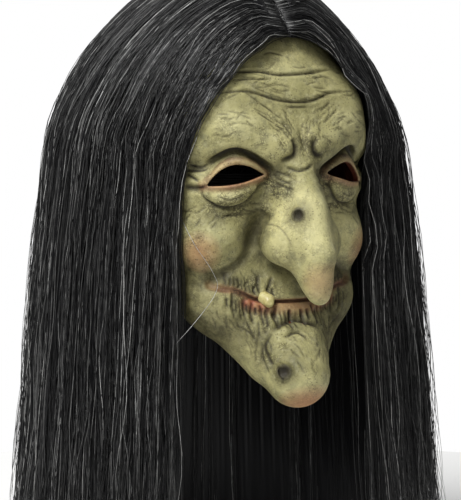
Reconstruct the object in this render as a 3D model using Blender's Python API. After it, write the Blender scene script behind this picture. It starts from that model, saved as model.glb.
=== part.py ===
"""A latex witch mask with a centre-parted wig: face skin, tooth, wig cap, sewn wefts, elastic and swinging hair.

The mask faces -Y, +X is the wearer's left and +Z is up. The origin is where the crown of the wearer's head
meets the inside of the wig cap. Lengths below are millimetres; MM scales them once, when a mesh is made.
"""

import math

import bmesh
import bpy
import numpy as np
from mathutils import Vector

MM = 0.001

# The head form that every layer follows: an ellipsoid, whose surface is the outside of the wearer's head.
HEAD_CENTRE = np.array((0.0, 8.0, -101.0))
HEAD_RADII = np.array((80.0, 92.0, 98.0))

# Layers over the head form, as distances from it.
LATEX_WALL = 2.4
CAP_INNER = 3.0
CAP_OUTER = 4.2
TRACK_INNER = 4.9
TRACK_OUTER = 6.4
HAIR_INNER = 8.0
GAP = 0.4
SKIN_TO_HAIR = 3.2

# Latex face skin.
SCULPT_CELL = 7.5
SCULPT_LOW = (-101.25, -142.5, -292.0)
SCULPT_HIGH = (101.25, 110.0, 8.0)
BACK_EDGE_Y = 18.0
TEMPLE_EDGE_Z = -84.0
FOREHEAD_EDGE = (-68.0, -34.0)
JAW_EDGE = ((18.0, -190.0), (-28.0, -213.0), (-52.0, -236.0), (-70.0, -262.0), (-76.0, -300.0))
EYE_CENTRE = (39.5, -66.0, -124.0)
EYE_RADII = (19.5, 30.0, 7.2)
EYE_SLANT_DEG = 12.0
NOSTRIL_RADIUS = 2.0

# Head elastic and its rivets.
ELASTIC_HEIGHT = 18.0
ELASTIC_Z = -140.0
ELASTIC_INNER = -4.2
ELASTIC_OUTER = -2.8
ELASTIC_START_DEG = 80.0
RIVET_Y = 7.0
RIVET_SHANK = 2.0
RIVET_HEAD = 4.5
RIVET_TAIL = 3.5
RIVET_GRIP = 6.8

# Weft tracks: the centre height of each sewn header tape. Each one ends where the cap's edge crosses it.
TRACK_HEIGHT = 6.0
TRACKS = (
    ("weft_track_nape", -148.0),
    ("weft_track_lower", -125.0),
    ("weft_track_middle", -102.0),
    ("weft_track_upper", -79.0),
    ("weft_track_crown", -56.0),
)

# Hair: the parting runs from the hairline to the whorl, and every lock falls from it over the ring to its tips.
PARTING_FRONT_Y = -66.0
PARTING_BACK_Y = 52.0
PARTING_HALF_WIDTH = 5.0
RING_Z = -118.0
TIP_Z = -415.0
TIP_FRONT_Z = -392.0
HAIR_INNER_SEMI = (88.5, 88.0, 100.5)
HAIR_OUTER_SEMI = (121.0, 96.0, 118.0)
HAIR_FRONT_DEG = 46.5
INNER_FLARE = 0.10
OUTER_FLARE = 0.19
LEFT_FULLNESS = 1.35
PARTING_DEPTH = 7.0
FRONT_DEPTH = 7.0
HINGE_X = 96.0
HINGE_Y = 96.0
SIDE_SWING_DEG = 25.0
BACK_SWING_DEG = 20.0
LOCKS = (("front", 0.0, 0.17), ("side", 0.17, 0.55), ("back", 0.55, 1.0))

COLOURS = {
    "latex": ((0.42, 0.44, 0.25), 0.55),
    "tooth": ((0.72, 0.66, 0.45), 0.35),
    "net": ((0.03, 0.03, 0.035), 0.9),
    "tape": ((0.02, 0.02, 0.025), 0.8),
    "hair": ((0.025, 0.025, 0.03), 0.45),
    "elastic": ((0.6, 0.6, 0.58), 0.85),
    "rivet": ((0.55, 0.5, 0.4), 0.3),
}


def clear_scene():
    for obj in list(bpy.data.objects):
        bpy.data.objects.remove(obj)


def material(name):
    found = bpy.data.materials.get(name)
    if found:
        return found
    colour, roughness = COLOURS[name]
    made = bpy.data.materials.new(name)
    made.use_nodes = True
    shader = made.node_tree.nodes["Principled BSDF"]
    shader.inputs["Base Color"].default_value = (*colour, 1)
    shader.inputs["Roughness"].default_value = roughness
    shader.inputs["Metallic"].default_value = 1.0 if name == "rivet" else 0.0
    return made


def add_object(name, points, faces, finish, angle=40, recalculate=True):
    """A smooth-shaded object from points in millimetres."""
    mesh = bpy.data.meshes.new(name)
    mesh.from_pydata([Vector(p) * MM for p in points], [], faces)
    work = bmesh.new()
    work.from_mesh(mesh)
    bmesh.ops.remove_doubles(work, verts=work.verts, dist=0.01 * MM)
    if recalculate:
        bmesh.ops.recalc_face_normals(work, faces=work.faces)
    work.to_mesh(mesh)
    work.free()
    mesh.shade_smooth()
    mesh.set_sharp_from_angle(angle=math.radians(angle))
    mesh.materials.append(material(finish))
    obj = bpy.data.objects.new(name, mesh)
    bpy.context.scene.collection.objects.link(obj)
    return obj


def boolean(obj, cutter, operation="DIFFERENCE"):
    cutter.hide_render = True
    cutter.display_type = "WIRE"
    cut = obj.modifiers.new(f"{operation.lower()} {cutter.name}", "BOOLEAN")
    cut.operation = operation
    cut.solver = "EXACT"
    cut.object = cutter


# --- The sculpt, as signed distances -------------------------------------------------------------------------


def ellipsoid(p, centre, radii):
    radii = np.asarray(radii, float)
    q = (p - np.asarray(centre, float)) / radii
    near = np.linalg.norm(q, axis=-1)
    far = np.linalg.norm(q / radii, axis=-1) + 1e-9
    return near * (near - 1.0) / far


def capsule(p, start, end, start_radius, end_radius):
    """Signed distance of two balls and the cone that wraps them."""
    start, end = np.asarray(start, float), np.asarray(end, float)
    along = end - start
    length2 = along @ along
    taper = start_radius - end_radius
    slant2 = length2 - taper * taper
    from_start = p - start
    y = from_start @ along
    z = y - length2
    x2 = ((from_start * length2 - y[..., None] * along) ** 2).sum(-1)
    y2, z2 = y * y * length2, z * z * length2
    k = np.sign(taper) * taper * taper * x2
    cone = (np.sqrt(x2 * slant2 / length2) + y * taper) / length2 - start_radius
    near_end = np.sqrt(x2 + z2) / length2 - end_radius
    near_start = np.sqrt(x2 + y2) / length2 - start_radius
    return np.where(np.sign(z) * slant2 * z2 > k, near_end, np.where(np.sign(y) * slant2 * y2 < k, near_start, cone))


def join(a, b, blend):
    h = np.clip(0.5 + 0.5 * (b - a) / blend, 0, 1)
    return b * (1 - h) + a * h - blend * h * (1 - h)


def carve(a, b, blend):
    return -join(-a, b, blend)


def witch_face(p):
    """Signed distance of the face: a long jaw and chin, heavy brow, apple cheeks, sunken mouth and beaked nose."""
    q = p * 1.0
    q[..., 0] = np.abs(q[..., 0])
    d = ellipsoid(p, HEAD_CENTRE, HEAD_RADII)
    # mid face and cheeks
    d = join(d, ellipsoid(p, (0, -12, -152), (70, 62, 72)), 16)
    d = join(d, capsule(q, (42, -47, -142), (43, -44, -168), 20, 22), 14)
    # jaw, muzzle and chin
    d = join(d, capsule(q, (54, -8, -184), (40, -48, -204), 17, 18), 14)
    d = join(d, capsule(q, (40, -48, -204), (14, -68, -240), 18, 14), 12)
    d = join(d, capsule(p, (0, -56, -212), (0, -84, -250), 27, 20.5), 12)
    d = join(d, capsule(q, (0, -45, -196), (27, -43, -196), 28, 26), 12)
    # cheek apples
    d = join(d, ellipsoid(q, (46, -53, -167), (19, 18, 20)), 9)
    # brows
    d = join(d, ellipsoid(q, (34, -48, -86), (32, 31, 26)), 14)
    d = join(d, capsule(q, (11, -76, -104), (40, -64, -95), 12.5, 12), 12)
    d = join(d, capsule(q, (40, -64, -95), (63, -48, -107), 12, 9), 12)
    # eyelids
    d = carve(d, capsule(q, (24, -88, -121), (58, -70, -125), 6, 5), 6)
    d = join(d, capsule(q, (33, -64, -125), (55, -49, -130), 16, 13), 6)
    # nose
    d = join(d, capsule(p, (0, -74, -122), (0, -86, -158), 13, 18), 12)
    d = join(d, capsule(q, (6, -88, -138), (8, -97, -170), 8, 11), 10)
    d = join(d, capsule(p, (0, -84.5, -116), (0, -101.5, -146), 7, 7.5), 8)
    d = join(d, capsule(p, (0, -101.5, -146), (0, -112, -172), 7.5, 8.5), 8)
    d = join(d, capsule(p, (0, -112, -172), (0, -107.5, -197), 8.5, 7.5), 4)
    d = join(d, capsule(p, (0, -94, -165), (0, -103, -189), 15, 10), 8)
    d = join(d, ellipsoid(q, (16, -87, -166), (10, 13, 12)), 9)
    # mouth
    d = carve(d, capsule(q, (0, -92, -204), (30, -83, -201), 14, 6), 8)
    # nasolabial fold
    d = carve(d, capsule(q, (30, -86, -162), (54, -68, -190), 4, 4), 7)
    return d


def surface_net(distance, low, high, cell):
    """Points and quads of the zero level of a signed distance, one point for each grid cell it crosses."""
    axes = [np.arange(a, b + cell, cell) for a, b in zip(low, high, strict=True)]
    grid = np.stack(np.meshgrid(*axes, indexing="ij"), -1)
    value = distance(grid)
    inside = value < 0
    corner = [(i, j, k) for i in (0, 1) for j in (0, 1) for k in (0, 1)]
    size = [n - 1 for n in value.shape]

    def at(array, offset):
        return array[tuple(slice(o, o + n) for o, n in zip(offset, size, strict=True))]

    total = np.zeros((*size, 3))
    crossings = np.zeros(size)
    for a in corner:
        for axis in range(3):
            if a[axis]:
                continue
            b = tuple(o + (n == axis) for n, o in enumerate(a))
            crossed = at(inside, a) != at(inside, b)
            va, vb = at(value, a), at(value, b)
            share = np.where(crossed, va / np.where(crossed, va - vb, 1), 0)
            point = at(grid, a) + share[..., None] * (at(grid, b) - at(grid, a))
            total += np.where(crossed[..., None], point, 0)
            crossings += crossed
    number = np.full(size, -1)
    used = crossings > 0
    number[used] = np.arange(used.sum())
    points = total[used] / crossings[used][:, None]
    quads = []
    for axis in range(3):
        u, v = (axis + 1) % 3, (axis + 2) % 3
        lower = [slice(1, -1)] * 3
        lower[axis] = slice(0, -1)
        upper = list(lower)
        upper[axis] = slice(1, None)
        starts, ends = inside[tuple(lower)], inside[tuple(upper)]
        for flip in (False, True):
            cells = np.argwhere((starts & ~ends) if not flip else (~starts & ends))
            cells[:, u] += 1
            cells[:, v] += 1
            ring = []
            for du, dv in ((-1, -1), (0, -1), (0, 0), (-1, 0)):
                step = cells.copy()
                step[:, u] += du
                step[:, v] += dv
                ring.append(number[tuple(step.T)])
            quads.append(np.stack(ring[::-1] if flip else ring, 1))
    return points, np.concatenate(quads)


def settle(points, distance, rounds=2, reach=0.6):
    """Moves points towards the zero level along the distance's gradient, by at most reach in each round."""
    step = 0.5
    for _ in range(rounds):
        slope = np.stack(
            [
                (distance(points + step * e) - distance(points - step * e)) / (2 * step)
                for e in np.eye(3)
            ],
            1,
        )
        slope /= np.linalg.norm(slope, axis=1, keepdims=True) + 1e-9
        points = points - slope * np.clip(0.7 * distance(points), -reach, reach)[:, None]
    return points


# --- Shells and bands on the head form -----------------------------------------------------------------------


def head_point(azimuth, z, offset):
    """A point on the head form grown by offset, at a height. Azimuth 0 is the face, and +90 degrees the left ear."""
    rx, ry, rz = HEAD_RADII + offset
    level = math.sqrt(max(0.0, 1 - ((z - HEAD_CENTRE[2]) / rz) ** 2))
    a = math.radians(azimuth)
    return (rx * level * math.sin(a), HEAD_CENTRE[1] - ry * level * math.cos(a), z)


def slab(name, inner, outer, columns, rows, finish, closed_round=False):
    """A closed solid between two surfaces, each a function of (u, v) from 0 to 1."""
    u_values = [n / columns for n in range(columns + (not closed_round))]
    v_values = [n / rows for n in range(rows + 1)]
    wide, tall = len(u_values), len(v_values)
    points = [side(u, v) for side in (inner, outer) for u in u_values for v in v_values]

    def index(side, i, j):
        return side * wide * tall + (i % wide) * tall + j

    faces = []
    for i in range(columns):
        for j in range(rows):
            ring = [(i, j), (i + 1, j), (i + 1, j + 1), (i, j + 1)]
            faces.append([index(0, *c) for c in ring])
            faces.append([index(1, *c) for c in reversed(ring)])
        for j in (0, rows):
            faces.append([index(0, i, j), index(0, i + 1, j), index(1, i + 1, j), index(1, i, j)])
    if not closed_round:
        for i in (0, columns):
            for j in range(rows):
                faces.append([index(0, i, j), index(0, i, j + 1), index(1, i, j + 1), index(1, i, j)])
    return add_object(name, points, faces, finish)


def lens_cutter(name, centre, radii, slant_deg, side):
    bpy.ops.mesh.primitive_uv_sphere_add(segments=20, ring_count=10, radius=1)
    cutter = bpy.context.active_object
    cutter.name = name
    work = bmesh.new()
    work.from_mesh(cutter.data)
    bmesh.ops.scale(work, verts=work.verts, vec=Vector(radii) * MM)
    work.to_mesh(cutter.data)
    work.free()
    cutter.location = Vector((side * centre[0], centre[1], centre[2])) * MM
    cutter.rotation_euler = (0, math.radians(side * slant_deg), 0)
    return cutter


def rod(name, start, end, radius, finish="latex", sides=12):
    """A round bar between two points, used as a cutter or a shank."""
    start, end = Vector(start), Vector(end)
    turn = (end - start).to_track_quat("Z", "Y")
    points = []
    for place in (start, end):
        for n in range(sides):
            a = 2 * math.pi * n / sides
            points.append(place + turn @ Vector((radius * math.cos(a), radius * math.sin(a), 0)))
    faces = [list(range(sides)), list(range(sides, 2 * sides))]
    faces += [[n, (n + 1) % sides, sides + (n + 1) % sides, sides + n] for n in range(sides)]
    return add_object(name, points, faces, finish)


def profile_cutter():
    """The side outline of the kept face skin, as a prism across the whole mask."""
    front, depth = -150.0, 120.0
    slope = (TEMPLE_EDGE_Z - FOREHEAD_EDGE[1]) / (BACK_EDGE_Y - FOREHEAD_EDGE[0])
    top = FOREHEAD_EDGE[1] + slope * (front - FOREHEAD_EDGE[0])
    outline = [(front, top), (BACK_EDGE_Y, TEMPLE_EDGE_Z), *JAW_EDGE, (front, JAW_EDGE[-1][1])]
    points = [(x, y, z) for x in (-depth, depth) for y, z in outline]
    n = len(outline)
    faces = [list(range(n)), list(range(n, 2 * n))]
    faces += [[i, (i + 1) % n, n + (i + 1) % n, n + i] for i in range(n)]
    return add_object("face_outline_cutter", points, faces, "latex")


# --- The sub-parts ---------------------------------------------------------------------------------------------


def rivet_frame(side):
    """Where a rivet meets the outside of the face skin, and the direction out of the skin there."""
    low, high = 50.0, 110.0
    for _ in range(40):
        middle = (low + high) / 2
        if witch_face(np.array((middle, RIVET_Y, ELASTIC_Z))) < 0:
            low = middle
        else:
            high = middle
    place = np.array((low, RIVET_Y, ELASTIC_Z))
    out = np.array([witch_face(place + e) - witch_face(place - e) for e in np.eye(3)])
    mirror = np.array((side, 1, 1))
    return Vector(place * mirror), Vector(out * mirror).normalized()


def rivet_hole(name, side):
    place, out = rivet_frame(side)
    return rod(name, place - 15 * out, place + 10 * out, RIVET_SHANK + GAP)


def make_latex_face():
    """The face skin: a shell between two levels of the sculpt, trimmed to its outline and pierced."""

    def inner_face(p):
        return witch_face(p) + LATEX_WALL

    points, faces = [], []
    for level in (witch_face, inner_face):
        net, quads = surface_net(level, SCULPT_LOW, SCULPT_HIGH, SCULPT_CELL)
        turn = -1 if level is inner_face else 1
        faces += (quads[:, ::turn] + len(points)).tolist()
        points += settle(net, level).tolist()
    face = add_object("latex_face", points, faces, "latex", angle=60, recalculate=False)
    boolean(face, profile_cutter(), "INTERSECT")
    for side, name in ((-1, "right"), (1, "left")):
        boolean(face, lens_cutter(f"eye_cutter_{name}", EYE_CENTRE, EYE_RADII, EYE_SLANT_DEG, side))
        nostril = ((side * 13, -92, -190), (side * 12, -86, -158))
        boolean(face, rod(f"nostril_cutter_{name}", *nostril, NOSTRIL_RADIUS))
        boolean(face, rivet_hole(f"skin_rivet_cutter_{name}", side))
    return face


def make_tooth():
    """One blunt peg of a tooth, standing in the lip crease and leaning over the lower lip."""
    bpy.ops.mesh.primitive_uv_sphere_add(segments=14, ring_count=8, radius=1)
    tooth = bpy.context.active_object
    tooth.name = "tooth"
    work = bmesh.new()
    work.from_mesh(tooth.data)
    bmesh.ops.scale(work, verts=work.verts, vec=Vector((5.4, 3.2, 4.8)) * MM)
    work.to_mesh(tooth.data)
    work.free()
    tooth.data.shade_smooth()
    tooth.data.materials.append(material("tooth"))
    tooth.location = Vector((-18.5, -79.0, -202.5)) * MM
    return tooth


def cap_edge(azimuth):
    """Height of the cap's lower edge: high over the forehead, behind the ears and down to the nape."""
    a = math.radians(azimuth)
    return -99.75 + 63.5 * math.cos(a) - 1.75 * math.cos(2 * a)


def make_wig_cap():
    def shell(offset):
        top = HEAD_CENTRE[2] + HEAD_RADII[2] + offset

        def point(u, v):
            edge = cap_edge(360 * u)
            return head_point(360 * u, top + (edge - top) * (1 - math.cos(math.radians(90 * v))), offset)

        return point

    return slab("wig_cap", shell(CAP_INNER), shell(CAP_OUTER), 32, 9, "net", closed_round=True)


def band(name, z, height, inner, outer, start_deg, finish, columns=28):
    """A tape round the back of the head, from start_deg behind one ear to the same behind the other."""

    def shell(offset):
        def point(u, v):
            azimuth = start_deg + u * (360 - 2 * start_deg)
            return head_point(azimuth, z + height * (v - 0.5), offset)

        return point

    return slab(name, shell(inner), shell(outer), columns, 1, finish)


def make_weft_track(name, z):
    """A header tape sewn round the back of the cap, between the places where the cap's edge crosses it."""
    start = next(a for a in range(181) if cap_edge(a) < z - TRACK_HEIGHT / 2 - 2)
    return band(name, z, TRACK_HEIGHT, TRACK_INNER, TRACK_OUTER, start, "tape")


def make_head_elastic():
    heights = (ELASTIC_Z, ELASTIC_HEIGHT)
    elastic = band("head_elastic", *heights, ELASTIC_INNER, ELASTIC_OUTER, ELASTIC_START_DEG, "elastic")
    for side, name in ((-1, "right"), (1, "left")):
        boolean(elastic, rivet_hole(f"elastic_rivet_cutter_{name}", side))
    return elastic


def make_rivet(name, side):
    """A domed rivet through the skin and the elastic: a cap outside, a shank and a flat tail inside."""
    place, out = rivet_frame(side)
    profile = (
        (0.0, 3.0),
        (RIVET_HEAD * 0.6, 2.6),
        (RIVET_HEAD, 1.4),
        (RIVET_HEAD, GAP),
        (RIVET_SHANK, GAP),
        (RIVET_SHANK, -RIVET_GRIP),
        (RIVET_TAIL, -RIVET_GRIP),
        (RIVET_TAIL, -RIVET_GRIP - 1.0),
        (0.0, -RIVET_GRIP - 1.0),
    )
    sides = 12
    turn = out.to_track_quat("Z", "Y")
    points, faces = [], []
    for radius, reach in profile:
        for n in range(sides):
            a = 2 * math.pi * n / sides
            points.append(place + turn @ Vector((radius * math.cos(a), radius * math.sin(a), reach)))
    for ring in range(len(profile) - 1):
        for n in range(sides):
            m = (n + 1) % sides
            low, high = ring * sides, (ring + 1) * sides
            faces.append([low + n, low + m, high + m, high + n])
    return add_object(name, points, faces, "rivet")


def parting_point(t, offset):
    """A point on the parting line over the cap, from the hairline at t 0 to the whorl at t 1."""
    y = PARTING_FRONT_Y + t * (PARTING_BACK_Y - PARTING_FRONT_Y)
    ry, rz = HEAD_RADII[1] + offset, HEAD_RADII[2] + offset
    z = HEAD_CENTRE[2] + rz * math.sqrt(1 - ((y - HEAD_CENTRE[1]) / ry) ** 2)
    return y, z


def make_parting_strip():
    def shell(offset):
        def point(u, v):
            y, z = parting_point(0.02 + 0.96 * u, offset)
            return ((2 * v - 1) * PARTING_HALF_WIDTH, y, z)

        return point

    return slab("parting_strip", shell(TRACK_INNER), shell(TRACK_OUTER), 14, 2, "tape")


def plan_point(semi, azimuth):
    """A point on the plan outline of the hair. Semi holds the side, front and back half widths."""
    a = math.radians(azimuth)
    depth = semi[1] if math.cos(a) > 0 else semi[2]
    return semi[0] * math.sin(a), HEAD_CENTRE[1] - depth * math.cos(a)


def fall_line(t, s, outer):
    """Where a lock would fall over nothing: a quarter turn from the parting to the ring, then straight to its tip."""
    azimuth = HAIR_FRONT_DEG + t * (180 - HAIR_FRONT_DEG)
    turn = math.radians(min(180 * s, 90))
    qx, qy = plan_point(HAIR_INNER_SEMI, azimuth)
    if outer:
        ox, oy = plan_point(HAIR_OUTER_SEMI, azimuth)
        front = max(0.0, 1 - t / 0.22)
        reach = math.hypot(ox - qx, oy - qy)
        depth = (reach + (FRONT_DEPTH - reach) * front * front) * math.sin(turn) ** 3
        qx, qy = qx + (ox - qx) * depth / reach, qy + (oy - qy) * depth / reach
    if s <= 0.5:
        py, pz = parting_point(t, HAIR_INNER)
        px = PARTING_HALF_WIDTH + 1.0
        pz += PARTING_DEPTH * outer
        x, y = px + (qx - px) * math.sin(turn), py + (qy - py) * math.sin(turn)
        return np.array((x, y, RING_Z + (pz - RING_Z) * math.cos(turn)))
    fall = 2 * s - 1
    flare = 1 + fall * (OUTER_FLARE if outer else INNER_FLARE)
    tip = TIP_FRONT_Z + (TIP_Z - TIP_FRONT_Z) * min(1.0, t / 0.4)
    y = HEAD_CENTRE[1] + (qy - HEAD_CENTRE[1]) * flare
    return np.array((qx * flare, y, RING_Z + (tip - RING_Z) * fall))


def lift_off(point):
    """The step that takes a point out of the layers on the head form and clear of the face skin."""
    size = np.linalg.norm((point - HEAD_CENTRE) / (HEAD_RADII + HAIR_INNER))
    lifted = HEAD_CENTRE + (point - HEAD_CENTRE) / min(1.0, size)
    out = (lifted - HEAD_CENTRE) * (1, 1, 0)
    out /= np.linalg.norm(out)
    for _ in range(6):
        lifted = lifted + out * max(0.0, SKIN_TO_HAIR - witch_face(lifted))
    return lifted - point


def hair_surface(t, s, outer, side):
    """A point of the hair's inner or outer face. t runs from the front edge to the back, s from parting to tip."""
    inner = fall_line(t, s, 0)
    fullness = LEFT_FULLNESS if side > 0 else 1.0
    x, y, z = inner + lift_off(inner) + outer * fullness * (fall_line(t, s, 1) - inner)
    return side * x, y, z


def make_hair(kind, first, last, side, side_name):
    """One lock as two solids: the part lying on the cap and the part that hangs below it and swings."""
    edge = 0.003
    t0, t1 = first + edge * (first > 0), last - edge * (last < 1)

    def face(outer, s0, s1, mitre):
        def point(u, v):
            t = t0 + (t1 - t0) * u
            x, y, z = hair_surface(t, s0 + (s1 - s0) * v, outer, side)
            if last == 1.0 and u == 1.0:
                x = side * 0.4
            if mitre and v == 0:
                if kind == "back":
                    z -= max(0.0, y - HINGE_Y) * math.tan(math.radians(BACK_SWING_DEG + 2))
                else:
                    z -= max(0.0, abs(x) - HINGE_X) * math.tan(math.radians(SIDE_SWING_DEG + 2))
                z -= 2 * GAP
            return x, y, z

        return point

    columns = max(3, round(12 * (last - first)))
    scalp = (0.0, 0.5, False)
    hanging = (0.5, 1.0, True)
    slab(f"hair_scalp_{kind}_{side_name}", face(0, *scalp), face(1, *scalp), columns, 7, "hair")
    slab(f"hair_{kind}_{side_name}", face(0, *hanging), face(1, *hanging), columns, 5, "hair")


def main():
    clear_scene()
    make_latex_face()
    make_tooth()
    make_wig_cap()
    make_parting_strip()
    for name, z in TRACKS:
        make_weft_track(name, z)
    make_head_elastic()
    for side, side_name in ((-1, "right"), (1, "left")):
        make_rivet(f"elastic_rivet_{side_name}", side)
        for kind, first, last in LOCKS:
            make_hair(kind, first, last, side, side_name)


main()
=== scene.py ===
"""Visual model of the latex witch mask: painted skin, tooth, wig cap, wefts, elastic and long hair.

The mask faces -Y, +X is the wearer's left and +Z is up. The sculpt and the hair are worked out in
millimetres and scaled once, by MM, when a mesh is made.
"""

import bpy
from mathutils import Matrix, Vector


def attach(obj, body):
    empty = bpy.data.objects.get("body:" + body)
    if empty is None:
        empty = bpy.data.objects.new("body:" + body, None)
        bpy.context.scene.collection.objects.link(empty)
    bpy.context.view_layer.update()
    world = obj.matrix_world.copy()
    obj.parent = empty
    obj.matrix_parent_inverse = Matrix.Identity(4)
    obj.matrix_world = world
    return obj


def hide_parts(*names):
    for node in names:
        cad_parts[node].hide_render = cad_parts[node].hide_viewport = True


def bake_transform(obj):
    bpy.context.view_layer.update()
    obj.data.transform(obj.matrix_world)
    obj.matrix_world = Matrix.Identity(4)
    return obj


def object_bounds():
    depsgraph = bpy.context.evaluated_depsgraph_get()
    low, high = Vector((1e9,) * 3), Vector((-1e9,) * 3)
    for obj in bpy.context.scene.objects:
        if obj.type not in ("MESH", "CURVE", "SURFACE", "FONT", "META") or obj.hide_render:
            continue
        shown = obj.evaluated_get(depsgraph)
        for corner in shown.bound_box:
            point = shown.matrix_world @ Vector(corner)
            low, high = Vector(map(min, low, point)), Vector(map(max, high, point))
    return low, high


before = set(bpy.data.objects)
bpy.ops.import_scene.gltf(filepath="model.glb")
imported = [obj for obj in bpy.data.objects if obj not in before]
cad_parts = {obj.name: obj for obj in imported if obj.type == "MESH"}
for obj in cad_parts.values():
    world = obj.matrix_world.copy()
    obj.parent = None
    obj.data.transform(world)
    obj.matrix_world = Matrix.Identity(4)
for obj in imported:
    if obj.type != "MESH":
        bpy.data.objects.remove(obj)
CAD_BOX = [list(map(float, corner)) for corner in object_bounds()]

import math

import bmesh
import bpy
import numpy as np
from mathutils import Vector

MM = 0.001

# --- Camera, light and floor ------------------------------------------------

VIEW_AZIMUTH_DEG = -30.0
VIEW_ELEVATION_DEG = 5.0
VIEW_DISTANCE = 1.4
VIEW_TARGET = Vector((0.0, 0.0, -0.1775))
LENS_MM = 152.7
FLOOR_GAP = 0.001
FLOOR_Z = CAD_BOX[0][2] - FLOOR_GAP
FLOOR_RADIUS = 0.6
LIGHT_TARGET = Vector((0, 0, -0.16))
# Each light's name, azimuth, elevation, distance, size and power.
LIGHTS = (
    ("key", -60, 48, 1.9, 0.8, 40),
    ("front", -35, 14, 2.2, 1.2, 4.5),
    ("side", 95, 35, 2.0, 1.0, 3),
    ("back", 165, 40, 2.0, 1.2, 24),
)
WORLD_SEEN, WORLD_LIT = 1.0, 0.12


def direction(azimuth_deg, elevation_deg):
    """The unit vector from the mask towards a viewer. Azimuth 0 is straight ahead of the face."""
    a, e = math.radians(azimuth_deg), math.radians(elevation_deg)
    return Vector((math.sin(a) * math.cos(e), -math.cos(a) * math.cos(e), math.sin(e)))


def link(obj):
    bpy.context.scene.collection.objects.link(obj)
    return obj


def make_camera():
    data = bpy.data.cameras.new("camera")
    data.lens = LENS_MM
    data.clip_end = 50
    camera = link(bpy.data.objects.new("camera", data))
    back = direction(VIEW_AZIMUTH_DEG, VIEW_ELEVATION_DEG)
    camera.location = VIEW_TARGET + VIEW_DISTANCE * back
    camera.rotation_euler = back.to_track_quat("Z", "Y").to_euler()
    bpy.context.scene.camera = camera


def area_light(name, azimuth, elevation, distance, size, power):
    data = bpy.data.lights.new(name, "AREA")
    data.shape = "DISK"
    data.size = size
    data.energy = power
    light = link(bpy.data.objects.new(name, data))
    out = direction(azimuth, elevation)
    light.location = LIGHT_TARGET + distance * out
    light.rotation_euler = out.to_track_quat("Z", "Y").to_euler()


def make_stage():
    """A pale round floor, and a world that is white to look at and dimmer as a light."""
    mesh = bpy.data.meshes.new("floor")
    work = bmesh.new()
    bmesh.ops.create_circle(work, cap_ends=True, segments=96, radius=FLOOR_RADIUS)
    work.to_mesh(mesh)
    work.free()
    floor = link(bpy.data.objects.new("floor", mesh))
    floor.location.z = FLOOR_Z
    pale = bpy.data.materials.new("floor")
    pale.use_nodes = True
    shader = pale.node_tree.nodes["Principled BSDF"]
    shader.inputs["Base Color"].default_value = (0.86, 0.86, 0.85, 1)
    shader.inputs["Roughness"].default_value = 0.9
    mesh.materials.append(pale)
    world = bpy.data.worlds.new("studio")
    world.use_nodes = True
    nodes, links = world.node_tree.nodes, world.node_tree.links
    nodes.clear()
    seen, lit = nodes.new("ShaderNodeBackground"), nodes.new("ShaderNodeBackground")
    seen.inputs["Strength"].default_value = WORLD_SEEN
    seen.inputs["Color"].default_value = (1, 1, 1, 1)
    lit.inputs["Strength"].default_value = WORLD_LIT
    path, mix, out = (
        nodes.new(kind) for kind in ("ShaderNodeLightPath", "ShaderNodeMixShader", "ShaderNodeOutputWorld")
    )
    links.new(path.outputs["Is Camera Ray"], mix.inputs[0])
    links.new(lit.outputs[0], mix.inputs[1])
    links.new(seen.outputs[0], mix.inputs[2])
    links.new(mix.outputs[0], out.inputs["Surface"])
    bpy.context.scene.world = world
    bpy.context.scene.view_settings.view_transform = "Standard"


make_camera()
make_stage()
for light in LIGHTS:
    area_light(*light)

# --- Signed distances of the sculpt -----------------------------------------

HEAD_CENTRE = np.array((0.0, 8.0, -101.0))
HEAD_RADII = np.array((80.0, 92.0, 98.0))
LATEX_WALL = 2.4
# The skin's edge, seen from the side, as (y, z).
BACK_EDGE = (18.0, -84.0)
FOREHEAD_EDGE = (-68.0, -34.0)
JAW_EDGE = ((18.0, -190.0), (-28.0, -213.0), (-52.0, -236.0), (-70.0, -262.0), (-76.0, -300.0))
# The almond of the eye hole: how far its upper edge rises, where it peaks and its half width, then how
# far its lower edge drops and its half width. The hole runs back as far as EYE_DEPTH_Y.
EYE_RISE, EYE_PEAK, EYE_HALF_TOP = 9.6, 0.8, 18.2
EYE_DROP, EYE_HALF_BOTTOM = 2.2, 18.6
EYE_DEPTH_Y = -40.0
NOSTRIL, NOSTRIL_RADIUS = ((13, -92, -192), (12, -86, -158)), 2.0
# A plane in front of the nose, where the search for the skin starts.
BEFORE_NOSE_Y = -135.0
EYE_OUTER = np.array((57.0, -65.0, -130.5))
EYE_INNER = np.array((22.0, -80.0, -123.5))


def ellipsoid(p, centre, radii):
    """Nearly the signed distance of an ellipsoid."""
    radii = np.asarray(radii, float)
    q = (p - np.asarray(centre, float)) / radii
    near = np.linalg.norm(q, axis=-1)
    far = np.linalg.norm(q / radii, axis=-1) + 1e-9
    return near * (near - 1.0) / far


def capsule(p, start, end, start_radius, end_radius):
    """Signed distance of two balls and the cone that wraps them."""
    start, end = np.asarray(start, float), np.asarray(end, float)
    along = end - start
    length2 = along @ along
    taper = start_radius - end_radius
    slant2 = length2 - taper * taper
    from_start = p - start
    y = from_start @ along
    z = y - length2
    x2 = ((from_start * length2 - y[..., None] * along) ** 2).sum(-1)
    y2, z2 = y * y * length2, z * z * length2
    k = np.sign(taper) * taper * taper * x2
    cone = (np.sqrt(x2 * slant2 / length2) + y * taper) / length2 - start_radius
    near_end = np.sqrt(x2 + z2) / length2 - end_radius
    near_start = np.sqrt(x2 + y2) / length2 - start_radius
    past_end, before_start = np.sign(z) * slant2 * z2 > k, np.sign(y) * slant2 * y2 < k
    return np.where(past_end, near_end, np.where(before_start, near_start, cone))


def join(a, b, blend):
    """The union of two signed distances, with a fillet."""
    h = np.clip(0.5 + 0.5 * (b - a) / blend, 0, 1)
    return b * (1 - h) + a * h - blend * h * (1 - h)


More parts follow.
